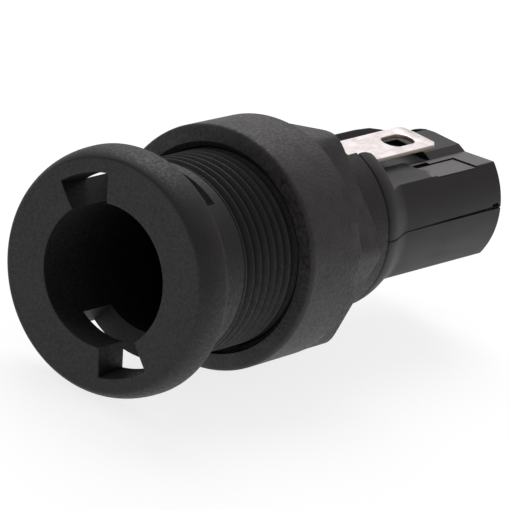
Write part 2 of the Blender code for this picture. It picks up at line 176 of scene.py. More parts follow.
def thread_depth(phase):
    """Share of the thread's height at a share of its pitch, counted from a crest."""
    away = abs((phase + 0.5) % 1 - 0.5)
    for (start, a), (end, b) in zip(THREAD_SHAPE, THREAD_SHAPE[1:]):
        if away <= end:
            return a + (b - a) * (away - start) / (end - start)
    return 0


def thread_rings(bm, start, end, radius, sides=SIDES):
    """A right-hand helical surface; radius takes the thread's depth and y. Gives its two end rings.

    The rows of points follow the helix, so the last column meets the first one pitch on.
    """
    away = [at for at, _ in THREAD_SHAPE]
    phases = away + [1 - at for at in reversed(away[1:-1])]
    turns = math.ceil((end - start) / PITCH)
    rows = [start + (turn + phase) * PITCH for turn in range(-1, turns) for phase in phases] + [end]
    made = {}

    def corner(row, k):
        if k == sides:
            row, k = min(row + len(phases), len(rows) - 1), 0
        y = min(max(rows[row] + PITCH * k / sides, start), end)
        key = (k, round(y * 1e9))
        if key not in made:
            depth = thread_depth((y - start) / PITCH - k / sides)
            made[key] = bm.verts.new(round_point(radius(depth, y), 2 * math.pi * k / sides, y))
        return made[key]

    for row in range(len(rows) - 1):
        for k in range(sides):
            around = (corner(row, k), corner(row, k + 1), corner(row + 1, k + 1), corner(row + 1, k))
            different = list(dict.fromkeys(around))
            if len(different) > 2:
                bm.faces.new(different)
    last = len(rows) - 1
    return [corner(0, k) for k in range(sides)], [corner(last, k) for k in range(sides)]


def polar_block(name, inner, outers, degrees, ys, step=2.0):
    """A closed block round the axis, from one radius to another at each of its two depths."""
    bm = bmesh.new()
    count = max(1, round((degrees[1] - degrees[0]) / step))
    columns = []
    for k in range(count + 1):
        turn = math.radians(degrees[0] + (degrees[1] - degrees[0]) * k / count)
        corners = [(inner, ys[0]), (outers[0], ys[0]), (outers[1], ys[1]), (inner, ys[1])]
        columns.append([bm.verts.new(round_point(radius, turn, y)) for radius, y in corners])
    join_rings(bm, columns, closed=False)
    bm.faces.new(columns[0])
    bm.faces.new(columns[-1])
    return add_piece(name, bm, [])


def block(name, low, high):
    """A closed box between two corners."""
    bm = bmesh.new()
    size = Vector(high) - Vector(low)
    middle = (Vector(high) + Vector(low)) / 2
    bmesh.ops.create_cube(bm, size=1, matrix=Matrix.Translation(middle) @ Matrix.Diagonal((*size, 1)))
    return add_piece(name, bm, [])


def combine(piece, tool, operation="DIFFERENCE"):
    """A Boolean of the piece with a tool, which is then thrown away."""
    modifier = piece.modifiers.new("shape", "BOOLEAN")
    modifier.operation = operation
    modifier.object = tool
    solid = bpy.data.meshes.new_from_object(piece.evaluated_get(bpy.context.evaluated_depsgraph_get()))
    piece.modifiers.clear()
    piece.data = solid
    bpy.data.objects.remove(tool)


def soften(piece, width, within=lambda co: True, sharper_than=35):
    """Rounds the edges that are sharper than an angle, where all of an edge is within a place."""
    bm = bmesh.new()
    bm.from_mesh(piece.data)
    bmesh.ops.remove_doubles(bm, verts=bm.verts, dist=0.02 * MM)
    near = {v for v in bm.verts if within(v.co)}
    inside = [e for e in bm.edges if e.verts[0] in near and e.verts[1] in near]
    bmesh.ops.dissolve_limit(bm, angle_limit=math.radians(0.4), verts=list(near), edges=inside)
    edges = [
        e for e in bm.edges
        if e.is_manifold and e.calc_face_angle() > math.radians(sharper_than)
        and within(e.verts[0].co) and within(e.verts[1].co)
    ]
    bmesh.ops.bevel(
        bm, geom=edges, offset=width, offset_type="OFFSET", segments=2, profile=0.5,
        affect="EDGES", clamp_overlap=False,
    )
    bm.to_mesh(piece.data)
    bm.free()


def finish_piece(piece, body, slot, *nodes, sharp=40):
    """Smooth shading that keeps flat faces flat, and the piece's place in the frame."""
    piece.data.shade_smooth()
    piece.data.set_sharp_from_angle(angle=math.radians(sharp))
    weighted = piece.modifiers.new("flat_faces_stay_flat", "WEIGHTED_NORMAL")
    weighted.keep_sharp = True
    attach(piece, body)
    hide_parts(*nodes)


# Polyamide 66 with 30% glass, moulded against a spark-eroded tool: faint cloudy flow, and
# glass ends that glint here and there. The real grain is about 0.1 mm; it is drawn at
# 0.26 mm, because a finer one would not show.
barrel_plastic, shader = start_material(
    "moulded_glass_filled_polyamide", {"IOR": 1.53, "Specular IOR Level": 0.42}
)
place = add_node(barrel_plastic, "ShaderNodeTexCoord").outputs["Object"]
cloud = add_node(
    barrel_plastic, "ShaderNodeTexNoise", {"Scale": 1 / (2.5 * MM), "Detail": 3.0}, {"Vector": place}
)
grain = add_node(
    barrel_plastic, "ShaderNodeTexNoise", {"Scale": 1 / (0.26 * MM), "Detail": 4.0}, {"Vector": place}
)
tone = add_node(barrel_plastic, "ShaderNodeValToRGB", links={"Fac": cloud.outputs["Fac"]})
tone.color_ramp.elements[0].position = 0.3
tone.color_ramp.elements[0].color = linear("#0d0b0c")
tone.color_ramp.elements[1].position = 0.72
tone.color_ramp.elements[1].color = linear("#171516")
glint = add_node(
    barrel_plastic, "ShaderNodeMapRange",
    {"From Min": 0.35, "From Max": 0.7, "To Min": 0.68, "To Max": 0.48}, {"Value": grain.outputs["Fac"]},
)
relief = add_node(
    barrel_plastic, "ShaderNodeBump",
    {"Strength": 0.6, "Distance": 0.025 * MM}, {"Height": grain.outputs["Fac"]},
)
barrel_plastic.node_tree.links.new(tone.outputs["Color"], shader.inputs["Base Color"])
barrel_plastic.node_tree.links.new(glint.outputs["Result"], shader.inputs["Roughness"])
barrel_plastic.node_tree.links.new(relief.outputs["Normal"], shader.inputs["Normal"])


def barrel_radius(depth, y):
    """Outer radius along the thread, which a chamfer cuts off at its rear end."""
    cut_off = CREST_R - max(0, y - (THREAD_END - THREAD_CHAMFER)) * (CREST_R - ROOT_R) / THREAD_CHAMFER
    return min(ROOT_R + (CREST_R - ROOT_R) * depth, cut_off)


bm = bmesh.new()
rim_steps = 12
rim_depth = (FACE_Y - RIM_Y) / math.cos(RIM_CREASE)
front = [ring(bm, BORE_R, FACE_Y), ring(bm, FACE_EDGE_R, FACE_Y)]
for k in range(rim_steps + 1):
    turn = RIM_CREASE + (math.pi / 2 - RIM_CREASE) * k / rim_steps
    rim_r = RIM_MIDDLE_R + (FLANGE_R - RIM_MIDDLE_R) * math.sin(turn)
    front.append(ring(bm, rim_r, RIM_Y + rim_depth * math.cos(turn)))
lip = 0.1 * MM
for radius, y in [(FLANGE_R, -lip), (FLANGE_R - 0.3 * lip, -0.3 * lip), (FLANGE_R - lip, 0), (COLLAR_R, 0)]:
    front.append(ring(bm, radius, y))
front += [ring(bm, COLLAR_R, COLLAR_END - lip), ring(bm, COLLAR_R - lip, COLLAR_END)]
thread_front, thread_back = thread_rings(bm, COLLAR_END, THREAD_END, barrel_radius)
rear_edge = 0.15 * MM
back = [ring(bm, ROOT_R, BARREL_END - rear_edge), ring(bm, ROOT_R - rear_edge, BARREL_END)]
back += [ring(bm, COUNTERBORE_R, BARREL_END), ring(bm, COUNTERBORE_R, COUNTERBORE_Y)]
back += [ring(bm, BORE_R, COUNTERBORE_Y)]
join_rings(bm, front + [thread_front], closed=False)
join_rings(bm, [thread_back] + back + [front[0]], closed=False)
barrel = add_piece("front_moulding", bm, [barrel_plastic])
for turn in (0, 180):
    keyway_radii = (KEYWAY_FRONT_R, KEYWAY_BACK_R)
    keyway = (KEYWAY_START + turn, KEYWAY_END + turn)
    keyway_ys = (FACE_Y - 0.1 * MM, SLOT_FRONT + 0.2 * MM)
    combine(barrel, polar_block("keyway", BORE_R - MM, keyway_radii, keyway, keyway_ys))
    slot = (KEYWAY_START + turn - 0.3, SLOT_END + turn)
    combine(barrel, polar_block("slot", BORE_R - MM, (SLOT_R, SLOT_R), slot, (SLOT_FRONT, SLOT_BACK)))
groove_high = (GROOVE_HALF, COUNTERBORE_Y + MM, GROOVE_TOP)
combine(barrel, block("groove", (-GROOVE_HALF, GROOVE_START, 0), groove_high))
lug_way_high = (LUG_WAY_HALF, BARREL_END + MM, FLANGE_R)
combine(barrel, block("lug_way", (-LUG_WAY_HALF, LUG_WAY_START, LUG_WAY_FLOOR), lug_way_high))
soften(barrel, MOULDED_EDGE, lambda co: co.y < FACE_Y + 0.05 * MM)
finish_piece(barrel, "holder", "barrel_plastic", "barrel")

# ---- Panel nut ---------------------------------------------------------------------
# A moulded nut: a round foot that presses on the panel and a hexagon behind it that
# fades into the round. Its polyamide is drier and more granular, with a little dust.

nut_low, nut_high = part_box("panel_nut")
NUT_FRONT, NUT_BACK = nut_low.y, nut_high.y
FOOT_R = nut_high.x
FOOT_L = 6.5 * MM
FADE_L = 0.45 * MM
APOTHEM = 8.8 * MM
NUT_TURN = math.radians(16)
NUT_MOUTH_R = 8.6 * MM
NUT_MINOR_R = 8.1 * MM
NUT_MAJOR_R = 8.5 * MM
NUT_EDGE = 0.35 * MM
DRAFT = 0.15 * MM
NUT_SIDES = 180


def nut_radius(y):
    """Outer radius at a depth, as a function of the turn: round, then a soft-cornered hexagon."""
    share = (y - NUT_FRONT) / (NUT_BACK - NUT_FRONT)
    round_r = FOOT_R - DRAFT * share
    step = min(max((y - NUT_FRONT - FOOT_L) / FADE_L, 0), 1)
    flat = step * step * (3 - 2 * step)
    corner = 0.35 * MM

    def radius(turn):
        off = (turn - NUT_TURN) % (math.pi / 3) - math.pi / 6
        hexagon = APOTHEM / math.cos(off)
        mix = min(max(0.5 + 0.5 * (hexagon - round_r) / corner, 0), 1)
        softest = hexagon + (round_r - hexagon) * mix - corner * mix * (1 - mix)
        return round_r + (softest - round_r) * flat

    return radius


# Glass-filled polyamide as it leaves a worn tool, so it is the dullest moulding here. Its
# granules are also drawn coarser than life, at 0.3 mm.
nut_plastic, shader = start_material("dry_moulded_polyamide", {"IOR": 1.53})
place = add_node(nut_plastic, "ShaderNodeTexCoord").outputs["Object"]
cloud = add_node(
    nut_plastic, "ShaderNodeTexNoise", {"Scale": 1 / (1.6 * MM), "Detail": 3.0}, {"Vector": place}
)
grain = add_node(
    nut_plastic, "ShaderNodeTexNoise", {"Scale": 1 / (0.3 * MM), "Detail": 3.0}, {"Vector": place}
)
mottle = add_node(
    nut_plastic, "ShaderNodeMath", {1: 0.6}, {0: grain.outputs["Fac"]}, operation="MULTIPLY"
)
clouded = add_node(
    nut_plastic, "ShaderNodeMath", {1: 0.4}, {0: cloud.outputs["Fac"], 2: mottle.outputs["Value"]},
    operation="MULTIPLY_ADD",
)
tone = add_node(nut_plastic, "ShaderNodeValToRGB", links={"Fac": clouded.outputs["Value"]})
tone.color_ramp.elements[0].position = 0.36
tone.color_ramp.elements[0].color = linear("#121010")
tone.color_ramp.elements[1].position = 0.66
tone.color_ramp.elements[1].color = linear("#312e2f")
dull = add_node(
    nut_plastic, "ShaderNodeMapRange",
    {"From Min": 0.35, "From Max": 0.65, "To Min": 0.5, "To Max": 0.72}, {"Value": grain.outputs["Fac"]},
)
relief = add_node(
    nut_plastic, "ShaderNodeBump", {"Strength": 0.8, "Distance": 0.07 * MM}, {"Height": grain.outputs["Fac"]}
)
nut_plastic.node_tree.links.new(tone.outputs["Color"], shader.inputs["Base Color"])
nut_plastic.node_tree.links.new(dull.outputs["Result"], shader.inputs["Roughness"])
nut_plastic.node_tree.links.new(relief.outputs["Normal"], shader.inputs["Normal"])

bm = bmesh.new()
outside = [ring(bm, NUT_MOUTH_R, NUT_FRONT, NUT_SIDES)]
edge_steps = 4
for k in range(edge_steps + 1):
    turn = math.pi / 2 * k / edge_steps
    edge_r = FOOT_R - NUT_EDGE * (1 - math.sin(turn))
    outside.append(ring(bm, edge_r, NUT_FRONT + NUT_EDGE * (1 - math.cos(turn)), NUT_SIDES))
fade_at = NUT_FRONT + FOOT_L
inner_start, inner_end = NUT_FRONT + 0.5 * MM, NUT_BACK - 0.4 * MM
for y in [fade_at - MM, fade_at] + [fade_at + FADE_L * k / 5 for k in range(1, 6)] + [inner_end]:
    outside.append(ring(bm, nut_radius(y), y, NUT_SIDES))
at_back = nut_radius(NUT_BACK)
for inward, before in [(0.12 * MM, 0.26 * MM), (0.35 * MM, 0.1 * MM), (0.75 * MM, 0)]:
    outside.append(
        ring(bm, lambda turn: min(at_back(turn), FOOT_R - DRAFT) - inward, NUT_BACK - before, NUT_SIDES)
    )
outside.append(ring(bm, NUT_MAJOR_R, NUT_BACK, NUT_SIDES))
thread_front, thread_back = thread_rings(
    bm, inner_start, inner_end,
    lambda depth, y: NUT_MAJOR_R - (NUT_MAJOR_R - NUT_MINOR_R) * depth, NUT_SIDES,
)
join_rings(bm, [thread_front] + outside + [thread_back], closed=False)
nut = add_piece("round_foot_nut", bm, [nut_plastic])
finish_piece(nut, "panel_nut", "nut_plastic", "panel_nut")

# ---- Rear housing ------------------------------------------------------------------
# Two half shells, glued along a level seam into the barrel's counterbore. The upper one
# is cut down to a deck under the side lug. They come from a smoother tool, so they are
# the glossiest mouldings; a shallow polished window lies in the deck, its floor painted lighter as a
# reflection.

shell_low, shell_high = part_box("rear_housing_lower")
SPIGOT_START, HOUSING_END = shell_low.y, shell_high.y
SEAM_Z = (shell_high.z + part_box("rear_housing_upper")[0].z) / 2
SEAM_GAP = 0.04 * MM
SPIGOT_R = 6.2 * MM
SHOULDER_START = BARREL_END + 0.12 * MM
SHOULDER_R = 7.35 * MM
SHOULDER_END = 26.4 * MM
HOUSING_R = 6.62 * MM
HOUSING_START = 29.6 * MM
FLATS_START = 28.4 * MM
LUG_SLOT_END = 27.9 * MM
FUSE_BORE_R = 3.45 * MM
CUP_BORE_R = 3.9 * MM
CUP_BORE_START = 32.7 * MM
END_WALL = 40.9 * MM
DECK_Z = 4.64 * MM
DECK_SIDE_X = -2.05 * MM
SIDE_WALL_END = 39.2 * MM
POCKET_HALF = 1.8 * MM
POCKET_START = 28.7 * MM
POCKET_END = 37.8 * MM
POCKET_FLOOR = 4.2 * MM
FACET_START = 34.0 * MM
FACET_LINE = ((1.85 * MM, 4.28 * MM), (4.75 * MM, 4.6 * MM))
WINDOW_Y = (34.8 * MM, 40.3 * MM)
WINDOW_X = 2.4 * MM
WINDOW_DEPTH = 0.09 * MM
GROOVE_WIDTH = 0.1 * MM
GROOVE_FLOOR = 4.1 * MM
SHELL_EDGE = 0.08 * MM
FAR_EDGE_X = -2.55 * MM
FAR_FLAT_TURN = math.radians(-35.2)
BLADE_X = -1.95 * MM
BLADE_SLOT_HALF = 2.05 * MM
BLADE_SLOT_Z = (0.905 * MM, 1.495 * MM)
BOTTOM_Z = -6.48 * MM
BOTTOM_SIDE_Z = -2.0 * MM
FAR = 12 * MM
PAST_END = 4 * FAR

# Small features of the upper half, each between two corners: a pocket beside the window,
# a notch in the end, and the part of the deck whose edges stay crisp
SMALL_POCKET = ((2.06 * MM, 34.3 * MM, 4.0 * MM), (2.55 * MM, 36.9 * MM, FAR))
NOTCH = ((6.25 * MM, 41.7 * MM, 1.3 * MM), (FAR, 42.5 * MM, 1.6 * MM))
CRISP = ((0.9 * MM, 33.9 * MM, 3.7 * MM), (4.5 * MM, 40.6 * MM, FAR))


def swept_outline(name, outline, spans, place=lambda a, b, span: (a, span, b)):
    """An outline drawn out from one place to another; its points are (x, z) unless place says."""
    bm = bmesh.new()
    ends = [[bm.verts.new(place(a, b, span)) for a, b in outline] for span in spans]
    join_rings(bm, ends, closed=False)
    bm.faces.new(ends[0])
    bm.faces.new(ends[1])
    return add_piece(name, bm, [])


def eased(share):
    """A smooth step from 0 to 1."""
    share = min(max(share, 0), 1)
    return share * share * (3 - 2 * share)


def shell_blank(name, materials):
    """Spigot, shoulder, body and both bores, before the halves are parted."""
    bm = bmesh.new()
    profile = [(FUSE_BORE_R, SPIGOT_START), (SPIGOT_R, SPIGOT_START), (SPIGOT_R, SHOULDER_START)]
    profile += [(SHOULDER_R - MOULDED_EDGE, SHOULDER_START), (SHOULDER_R, SHOULDER_START + MOULDED_EDGE)]
    steps = 10
    for k in range(steps + 1):
        sunk = (SHOULDER_R - HOUSING_R) * eased(k / steps)
        profile.append((SHOULDER_R - sunk, SHOULDER_END + (HOUSING_START - SHOULDER_END) * k / steps))
    hole_r, plug_r = 0.4 * MM, 0.6 * MM
    profile += [(HOUSING_R, HOUSING_END), (hole_r, HOUSING_END), (hole_r, END_WALL), (CUP_BORE_R, END_WALL)]
    profile += [(CUP_BORE_R, CUP_BORE_START), (FUSE_BORE_R, CUP_BORE_START)]
    join_rings(bm, [ring(bm, radius, y) for radius, y in profile])
    shell = add_piece(name, bm, materials)
    plug = polar_block("wall_plug", 0, (plug_r, plug_r), (0, 359.9), (END_WALL, HOUSING_END))
    combine(shell, plug, "UNION")
    return shell


# The same polyamide off a ground tool: the flow of the plastic shows as streaks along the
# body, and a grain of about 0.2 mm barely lifts it.
housing_plastic, shader = start_material(
    "smooth_glass_filled_polyamide", {"IOR": 1.53, "Specular IOR Level": 0.4}
)
place = add_node(housing_plastic, "ShaderNodeTexCoord").outputs["Object"]
drawn_out = add_node(housing_plastic, "ShaderNodeMapping", {"Scale": (1, 0.3, 1)}, {"Vector": place})
flow = add_node(
    housing_plastic, "ShaderNodeTexNoise", {"Scale": 1 / (1.2 * MM), "Detail": 4.0},
    {"Vector": drawn_out.outputs["Vector"]},
)
grain = add_node(
    housing_plastic, "ShaderNodeTexNoise", {"Scale": 1 / (0.2 * MM), "Detail": 2.0}, {"Vector": place}
)
tone = add_node(housing_plastic, "ShaderNodeValToRGB", links={"Fac": flow.outputs["Fac"]})
tone.color_ramp.elements[0].position = 0.3
tone.color_ramp.elements[0].color = linear("#0e0c0d")
tone.color_ramp.elements[1].position = 0.7
tone.color_ramp.elements[1].color = linear("#1a1819")
sheen = add_node(
    housing_plastic, "ShaderNodeMapRange",
    {"From Min": 0.3, "From Max": 0.7, "To Min": 0.5, "To Max": 0.6}, {"Value": flow.outputs["Fac"]},
)
relief = add_node(
    housing_plastic, "ShaderNodeBump",
    {"Strength": 0.35, "Distance": 0.015 * MM}, {"Height": grain.outputs["Fac"]},
)
housing_plastic.node_tree.links.new(tone.outputs["Color"], shader.inputs["Base Color"])
housing_plastic.node_tree.links.new(sheen.outputs["Result"], shader.inputs["Roughness"])
housing_plastic.node_tree.links.new(relief.outputs["Normal"], shader.inputs["Normal"])

# The window's floor: the same plastic off a polished insert, so it is smoother; its colour is painted lighter
# than the housing's, as a reflection of the light above.
window_plastic_painted_reflection, shader = start_material("polished_polyamide_painted_reflection", {"IOR": 1.53})
place = add_node(window_plastic_painted_reflection, "ShaderNodeTexCoord").outputs["Object"]
haze = add_node(
    window_plastic_painted_reflection, "ShaderNodeTexNoise", {"Scale": 1 / (0.5 * MM), "Detail": 3.0}, {"Vector": place}
)
# Painted reflection: this tone is lighter than the same plastic elsewhere, standing in for the light the
# polished floor mirrors
tone = add_node(window_plastic_painted_reflection, "ShaderNodeValToRGB", links={"Fac": haze.outputs["Fac"]})
tone.color_ramp.elements[0].color = linear("#1c1a1c")
tone.color_ramp.elements[1].color = linear("#2b292c")
polish = add_node(
    window_plastic_painted_reflection, "ShaderNodeMapRange",
    {"From Min": 0.3, "From Max": 0.7, "To Min": 0.16, "To Max": 0.24}, {"Value": haze.outputs["Fac"]},
)
window_plastic_painted_reflection.node_tree.links.new(tone.outputs["Color"], shader.inputs["Base Color"])
window_plastic_painted_reflection.node_tree.links.new(polish.outputs["Result"], shader.inputs["Roughness"])

blade_slot = (
    (BLADE_X - BLADE_SLOT_HALF, END_WALL - MM, BLADE_SLOT_Z[0]),
    (BLADE_X + BLADE_SLOT_HALF, PAST_END, BLADE_SLOT_Z[1]),
)


def stays_crisp(at):
    """Whether a point is on the deck's slope, in its window or in the pocket beside it."""
    return all(low < place < high for low, place, high in zip(CRISP[0], at, CRISP[1]))


upper = shell_blank("rear_shell_upper", [housing_plastic, window_plastic_painted_reflection])
combine(upper, block("below_seam", (-FAR, 0, -FAR), (FAR, PAST_END, SEAM_Z + SEAM_GAP / 2)))
lug_slot_high = (LUG_WAY_HALF, LUG_SLOT_END, FAR)
combine(upper, block("lug_slot", (-LUG_WAY_HALF, 0, LUG_WAY_FLOOR), lug_slot_high))
deck_out = DECK_SIDE_X - 1.6 * MM
deck = [(DECK_SIDE_X, DECK_Z), (deck_out, DECK_Z + 1.3 * MM), (deck_out, FAR), (FAR, FAR), (FAR, DECK_Z)]
combine(upper, swept_outline("deck", deck, (LUG_SLOT_END, PAST_END)))

# The far wall leans over the deck and runs down to it; behind it the corner is cut at 45
# degrees and rounded off in plan
above_deck, cut = DECK_Z + 0.02 * MM, 6 * MM
far_side = [(0, FAR), (0, above_deck), (FAR_EDGE_X, above_deck), (FAR_EDGE_X - cut, DECK_Z - cut)]
far_side += [(-FAR, DECK_Z - cut), (-FAR, FAR)]
combine(upper, swept_outline("far_side", far_side, (SIDE_WALL_END, PAST_END)))
corner_r = 1.3 * MM
corner = [
    (FAR_EDGE_X + corner_r * (1 - math.cos(t)), HOUSING_END - corner_r * (1 - math.sin(t)))
    for t in [math.radians(10 * k) for k in range(9)]
]
corner += [(FAR_EDGE_X + corner_r, HOUSING_END + MM), (-FAR, HOUSING_END + MM)]
corner += [(-FAR, HOUSING_END - corner_r)]
combine(upper, swept_outline("far_corner", corner, (3 * MM, FAR), lambda x, y, z: (x, y, z)))
wall_top = [(28.9, 12), (28.9, 6.42), (33.5, 6.38), (35.4, 6.25), (36.8, 5.9)]
wall_top += [(38.4, 5.3), (44, 5.3), (44, 12)]
wall_top = [(y * MM, away * MM) for y, away in wall_top]
turned_over = Matrix.Rotation(FAR_FLAT_TURN, 3, "Y")
far_flat = swept_outline(
    "far_flat", wall_top, (-FAR / 2, FAR / 2), lambda y, z, x: turned_over @ Vector((x, y, z))
)
combine(upper, far_flat)

combine(upper, block("pocket", (-POCKET_HALF, POCKET_START, POCKET_FLOOR), (POCKET_HALF, POCKET_END, FAR)))
slope_top, outward = 5.24 * MM, 9 * MM
facet = [(-0.15 * MM, slope_top), *FACET_LINE, (outward, 5 * MM), (outward, slope_top)]
combine(upper, swept_outline("facet", facet, (FACET_START, PAST_END)))
combine(upper, block("blade_way", *blade_slot))
rise = (FACET_LINE[1][1] - FACET_LINE[0][1]) / (FACET_LINE[1][0] - FACET_LINE[0][0])
floor_z = FACET_LINE[0][1] + (WINDOW_X - FACET_LINE[0][0]) * rise - WINDOW_DEPTH
window = [(WINDOW_X, DECK_Z + MM), (WINDOW_X, floor_z)]
window += [(outward, floor_z + (outward - WINDOW_X) * rise), (outward, DECK_Z + MM)]
combine(upper, swept_outline("window", window, WINDOW_Y))
window_end = WINDOW_Y[1]
far_line_high = (WINDOW_X + GROOVE_WIDTH, window_end, FAR)
combine(upper, block("far_line", (WINDOW_X, 36.8 * MM, GROOVE_FLOOR), far_line_high))
rear_line = (WINDOW_X, window_end - GROOVE_WIDTH, GROOVE_FLOOR)
combine(upper, block("rear_line", rear_line, (4.2 * MM, window_end + 0.01 * MM, FAR)))
combine(upper, block("small_pocket", *SMALL_POCKET))
combine(upper, block("notch", *NOTCH))
soften(upper, SHELL_EDGE, lambda co: co.y > BARREL_END and not stays_crisp(co))
# The window's upward faces take the material with the painted reflection
for face in upper.data.polygons:
    middle = face.center
    in_window = WINDOW_Y[0] < middle.y < window_end and middle.x > WINDOW_X and middle.z > 4.05 * MM
    face.material_index = int(in_window and face.normal.z > 0.98)
finish_piece(upper, "holder", "housing_plastic", "rear_housing_upper", sharp=20)

lower = shell_blank("rear_shell_lower", [housing_plastic])
combine(lower, block("above_seam", (-FAR, 0, SEAM_Z - SEAM_GAP / 2), (FAR, PAST_END, FAR)))
side = 8 * MM
flats = [(-side, BOTTOM_SIDE_Z), (0, BOTTOM_Z), (side, BOTTOM_SIDE_Z), (side, -FAR), (-side, -FAR)]
combine(lower, swept_outline("flats", flats, (FLATS_START, PAST_END)))
combine(lower, block("blade_way", *blade_slot))
soften(lower, SHELL_EDGE, lambda co: co.y > BARREL_END)
finish_piece(lower, "holder", "housing_plastic", "rear_housing_lower")

# ---- Side terminal -----------------------------------------------------------------
# Brass strip, hot-tinned before stamping, so its faces are soft silver and its cut edges
# show brass. The lug lies over the deck and steps up into the groove in the barrel's bore.

terminal_low, terminal_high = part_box("side_terminal")
STRIP_FRONT, LUG_END = terminal_low.y, terminal_high.y
STRIP_TOP = terminal_high.z
LUG_TOP = 5.7 * MM
SHEET = 0.35 * MM
LUG_HALF = terminal_high.x
STRIP_HALF = 1.3 * MM
JOGGLE_Y = (24.0 * MM, 26.2 * MM)
NECK_Y = 24.6 * MM
LUG_HOLE_Y = 35.1 * MM
LUG_HOLE_HALF = 0.95 * MM
LUG_HOLE_L = 3.5 * MM
RIVET_Y = 21.0 * MM
RIVET_HOLE_R = 0.5 * MM


def corner_round(x, y, radius, start, steps=6):
    """A quarter round in plan about (x, y), counted in degrees from +X."""
    turns = [math.radians(start + 90 * k / steps) for k in range(steps + 1)]
    return [(x + radius * math.cos(t), y + radius * math.sin(t)) for t in turns]


def oblong(x, y, half_width, length):
    """An outline with half-round ends, long along Y."""
    reach = length / 2 - half_width
    return sum([corner_round(x, y + side * reach, half_width, start)
                for side, start in ((1, 0), (1, 90), (-1, 180), (-1, 270))], [])


def stamped_strip(name, outline, holes, thickness, top, bends, materials):
    """Sheet cut to an outline in plan and bent along Y: top(y) is its upper face's height.

    The second material, where there is one, goes on the cut edges.
    """
    curve = bpy.data.curves.new(name, "CURVE")
    curve.dimensions = "2D"
    curve.fill_mode = "BOTH"
    edge = 0.12 * thickness
    curve.extrude = thickness / 2 - edge
    curve.bevel_depth = edge
    curve.bevel_resolution = 1
    curve.offset = -edge
    for points in [outline, *holes]:
        spline = curve.splines.new("POLY")
        spline.points.add(len(points) - 1)
        for point, (x, y) in zip(spline.points, points):
            point.co = (x, y, 0, 1)
        spline.use_cyclic_u = True
    flat = bpy.data.objects.new(name, curve)
    bpy.context.scene.collection.objects.link(flat)
    bpy.context.view_layer.update()
    bm = bmesh.new()
    bm.from_mesh(flat.to_mesh())
    bpy.data.objects.remove(flat)
    bmesh.ops.remove_doubles(bm, verts=bm.verts, dist=0.001 * MM)
    for y in bends:
        everything = list(bm.verts) + list(bm.edges) + list(bm.faces)
        bmesh.ops.bisect_plane(bm, geom=everything, dist=0.001 * MM, plane_co=(0, y, 0), plane_no=(0, 1, 0))
    for face in bm.faces:
        face.material_index = int(len(materials) > 1 and abs(face.normal.z) < 0.3)
    for vert in bm.verts:
        vert.co.z += top(vert.co.y) - thickness / 2
    return add_piece(name, bm, materials)


def terminal_top(y):
    """Height of the strip's upper face, with the joggle."""
    return STRIP_TOP + (LUG_TOP - STRIP_TOP) * eased((y - JOGGLE_Y[0]) / (JOGGLE_Y[1] - JOGGLE_Y[0]))


# Tin wiped hot on brass: bright but never mirror-like, rippled at about 1 mm and
# faintly brushed along the strip, with a warm cast.
tinned_brass, shader = start_material("hot_tinned_brass", {"Metallic": 1.0})
place = add_node(tinned_brass, "ShaderNodeTexCoord").outputs["Object"]
along = add_node(tinned_brass, "ShaderNodeMapping", {"Scale": (1, 0.12, 1)}, {"Vector": place})
ripple = add_node(
    tinned_brass, "ShaderNodeTexNoise", {"Scale": 1 / (1.1 * MM), "Detail": 2.0}, {"Vector": place}
)
streak = add_node(
    tinned_brass, "ShaderNodeTexNoise", {"Scale": 1 / (0.14 * MM), "Detail": 3.0},
    {"Vector": along.outputs["Vector"]},
)
tone = add_node(tinned_brass, "ShaderNodeValToRGB", links={"Fac": ripple.outputs["Fac"]})
tone.color_ramp.elements[0].position = 0.3
tone.color_ramp.elements[0].color = linear("#dcd3d2")
tone.color_ramp.elements[1].position = 0.7
tone.color_ramp.elements[1].color = linear("#efe8e8")
satin = add_node(
    tinned_brass, "ShaderNodeMapRange",
    {"From Min": 0.3, "From Max": 0.7, "To Min": 0.26, "To Max": 0.4}, {"Value": streak.outputs["Fac"]},
)
relief = add_node(
    tinned_brass, "ShaderNodeBump",
    {"Strength": 0.4, "Distance": 0.01 * MM}, {"Height": streak.outputs["Fac"]},
)
tinned_brass.node_tree.links.new(tone.outputs["Color"], shader.inputs["Base Color"])
tinned_brass.node_tree.links.new(satin.outputs["Result"], shader.inputs["Roughness"])
tinned_brass.node_tree.links.new(relief.outputs["Normal"], shader.inputs["Normal"])

# The stamped edges: sheared bare brass, matt and streaked through the sheet.
cut_brass, shader = start_material("sheared_brass_edge", {"Metallic": 1.0})
place = add_node(cut_brass, "ShaderNodeTexCoord").outputs["Object"]
shear = add_node(cut_brass, "ShaderNodeTexNoise", {"Scale": 1 / (0.1 * MM), "Detail": 2.0}, {"Vector": place})
tone = add_node(cut_brass, "ShaderNodeValToRGB", links={"Fac": shear.outputs["Fac"]})
tone.color_ramp.elements[0].color = linear("#cabda3")
tone.color_ramp.elements[1].color = linear("#ebe3d2")
rough_shear = add_node(
    cut_brass, "ShaderNodeMapRange",
    {"From Min": 0.3, "From Max": 0.7, "To Min": 0.35, "To Max": 0.55}, {"Value": shear.outputs["Fac"]},
)
cut_brass.node_tree.links.new(tone.outputs["Color"], shader.inputs["Base Color"])
cut_brass.node_tree.links.new(rough_shear.outputs["Result"], shader.inputs["Roughness"])

